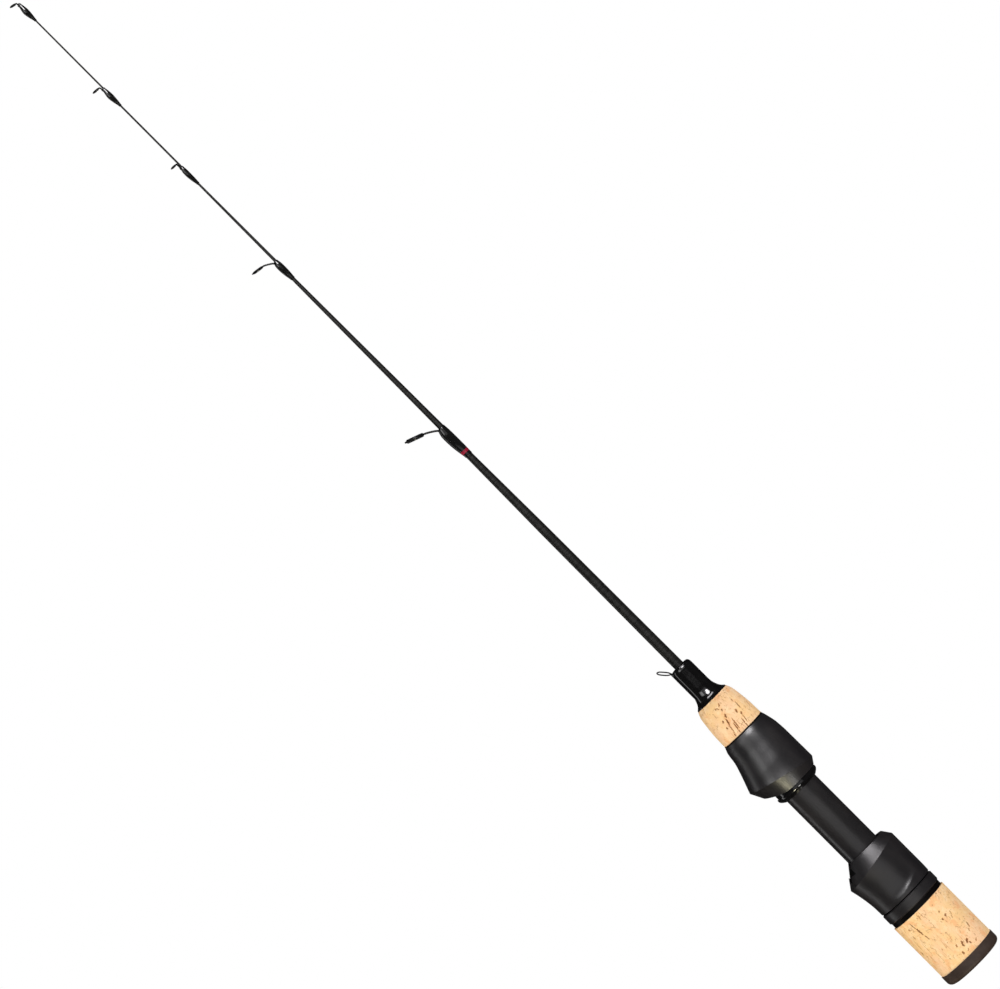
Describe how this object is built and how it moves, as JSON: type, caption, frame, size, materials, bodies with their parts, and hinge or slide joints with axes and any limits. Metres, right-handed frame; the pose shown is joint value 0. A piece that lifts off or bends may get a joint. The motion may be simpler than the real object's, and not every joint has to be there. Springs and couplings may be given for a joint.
{
  "type": "ice fishing rod",
  "caption": "Short spinning rod for ice fishing: tapered graphite blank with ringed line guides, cork split grips and an exposed reel seat whose sliding hood is clamped by a lock ring.",
  "frame": {"origin": "centre of the butt cap's flat rear face, on the rod's axis", "axes": "+X along the rod's axis from the butt to the tip; +Z out of the back of the rod, so the reel and the line guides are on -Z; +Y completes the right-handed frame"},
  "size_m": [0.6001, 0.0324, 0.0329],
  "materials": {
    "cap_rubber": "matt dark brown rubber cap",
    "cork": "sanded natural cork with pits and lenticels",
    "trim_black": "black trim ring",
    "seat_satin": "soft satin black moulded plastic",
    "seat_tube_satin": "smooth satin black tube",
    "liner_black": "soft black cushion",
    "key_metal": "plain alloy key",
    "arbor_foam": "rigid foam bushing",
    "trim_gloss": "polished black",
    "wire_black": "black plated steel",
    "graphite": "satin dark graphite",
    "thread_black": "black nylon winding thread",
    "thread_red": "red metallic winding thread",
    "epoxy_clear": "clear glossy epoxy coat",
    "ceramic_black": "polished dark ceramic"
  },
  "bodies": {
    "rod": {"butt_cap": "cap_rubber", "rear_grip": "cork", "fore_grip": "cork", "rear_trim_ring": "trim_black", "front_trim_ring": "trim_black", "seat_tube": "seat_tube_satin", "rear_arbor": "arbor_foam", "front_arbor": "arbor_foam", "front_collar": "trim_gloss", "front_hood": "seat_satin", "nose_cone": "trim_gloss", "hook_keeper": "wire_black", "blank": "graphite", "guide_1_trim_band": "thread_red", "guide_1_frame": "wire_black", "guide_1_ring": "ceramic_black", "guide_1_thread": "thread_black", "guide_1_epoxy": "epoxy_clear", "guide_2_frame": "wire_black", "guide_2_ring": "ceramic_black", "guide_2_thread": "thread_black", "guide_2_epoxy": "epoxy_clear", "guide_3_frame": "wire_black", "guide_3_ring": "ceramic_black", "guide_3_thread": "thread_black", "guide_3_epoxy": "epoxy_clear", "guide_4_frame": "wire_black", "guide_4_ring": "ceramic_black", "guide_4_thread": "thread_black", "guide_4_epoxy": "epoxy_clear", "tip_top_frame": "wire_black", "tip_top_ring": "ceramic_black", "tip_top_thread": "thread_black", "tip_top_epoxy": "epoxy_clear"},
    "sliding_hood": {"sliding_hood": "seat_satin", "hood_liner": "liner_black", "hood_key": "key_metal"},
    "lock_ring": {"lock_ring": "seat_satin"}
  },
  "joints": [
    {"name": "hood_slide", "type": "slide", "parent": "rod", "child": "sliding_hood", "axis": [1, 0, 0], "range_m": [0, 0.012]},
    {"name": "lock_ring_turn", "type": "hinge", "parent": "sliding_hood", "child": "lock_ring", "pos_m": [0.0407, 0, 0], "axis": [1, 0, 0], "range_deg": [0, 2160]}
  ],
  "couplings": [
    {"joint": "hood_slide", "follows": "lock_ring_turn", "m_per_rad": 0.00031831}
  ]
}
